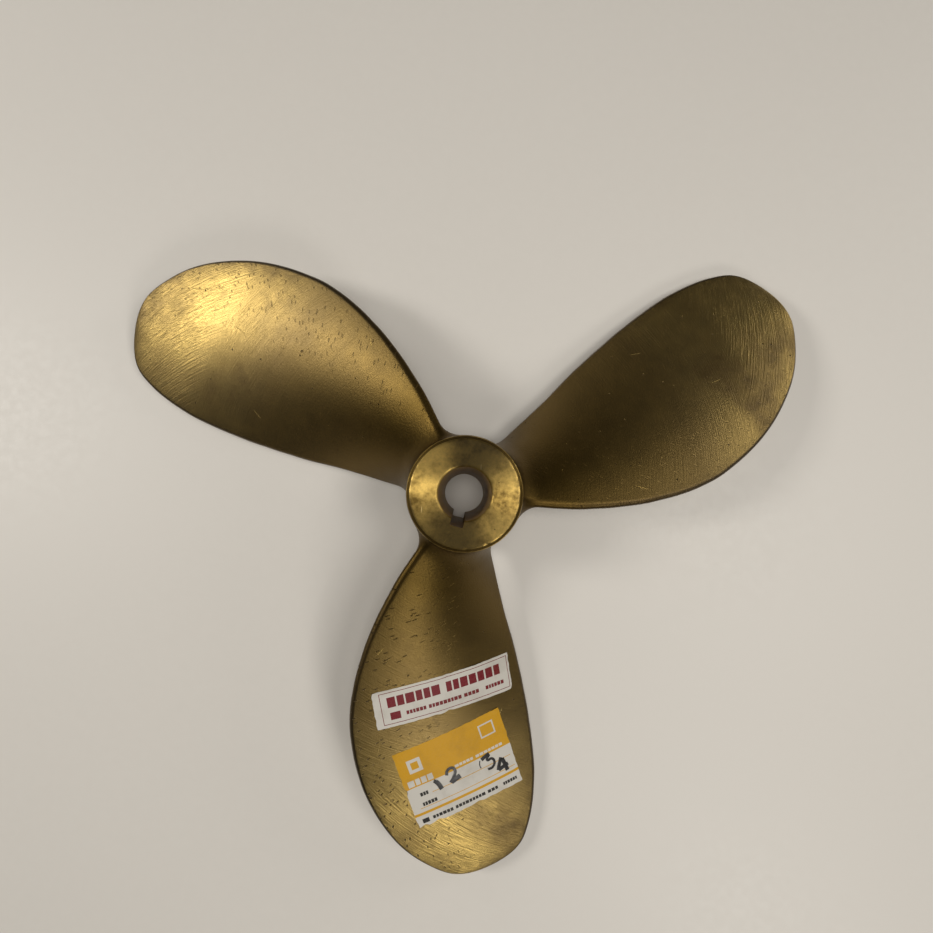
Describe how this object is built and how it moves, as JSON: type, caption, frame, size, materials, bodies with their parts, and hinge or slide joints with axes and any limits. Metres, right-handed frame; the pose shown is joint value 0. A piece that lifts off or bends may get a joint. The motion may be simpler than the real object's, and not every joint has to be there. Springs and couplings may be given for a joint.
{
  "type": "boat propeller",
  "caption": "Cast bronze boat propeller: broad round-tipped raked blades on a barrel hub with a tapered, keyed shaft bore and paper labels on one blade.",
  "frame": {"origin": "on the shaft axis, at the height of the centre of mass, 22.9 mm above the hub's aft face", "axes": "+Z along the shaft axis towards the bow, out of the large end of the tapered bore; -Y through the middle of the keyway"},
  "size_m": [0.2639, 0.2648, 0.0508],
  "materials": {
    "turned_bronze": "lathe-turned",
    "cast_bronze": "cast and hand-ground, tarnished",
    "white_paper": "printed paper label",
    "yellow_paper": "printed paper label"
  },
  "bodies": {
    "root": {"hub": "turned_bronze", "blade_1": "cast_bronze", "blade_2": "cast_bronze", "blade_3": "cast_bronze", "quality_label": "white_paper", "size_label": "yellow_paper"}
  },
  "joints": []
}
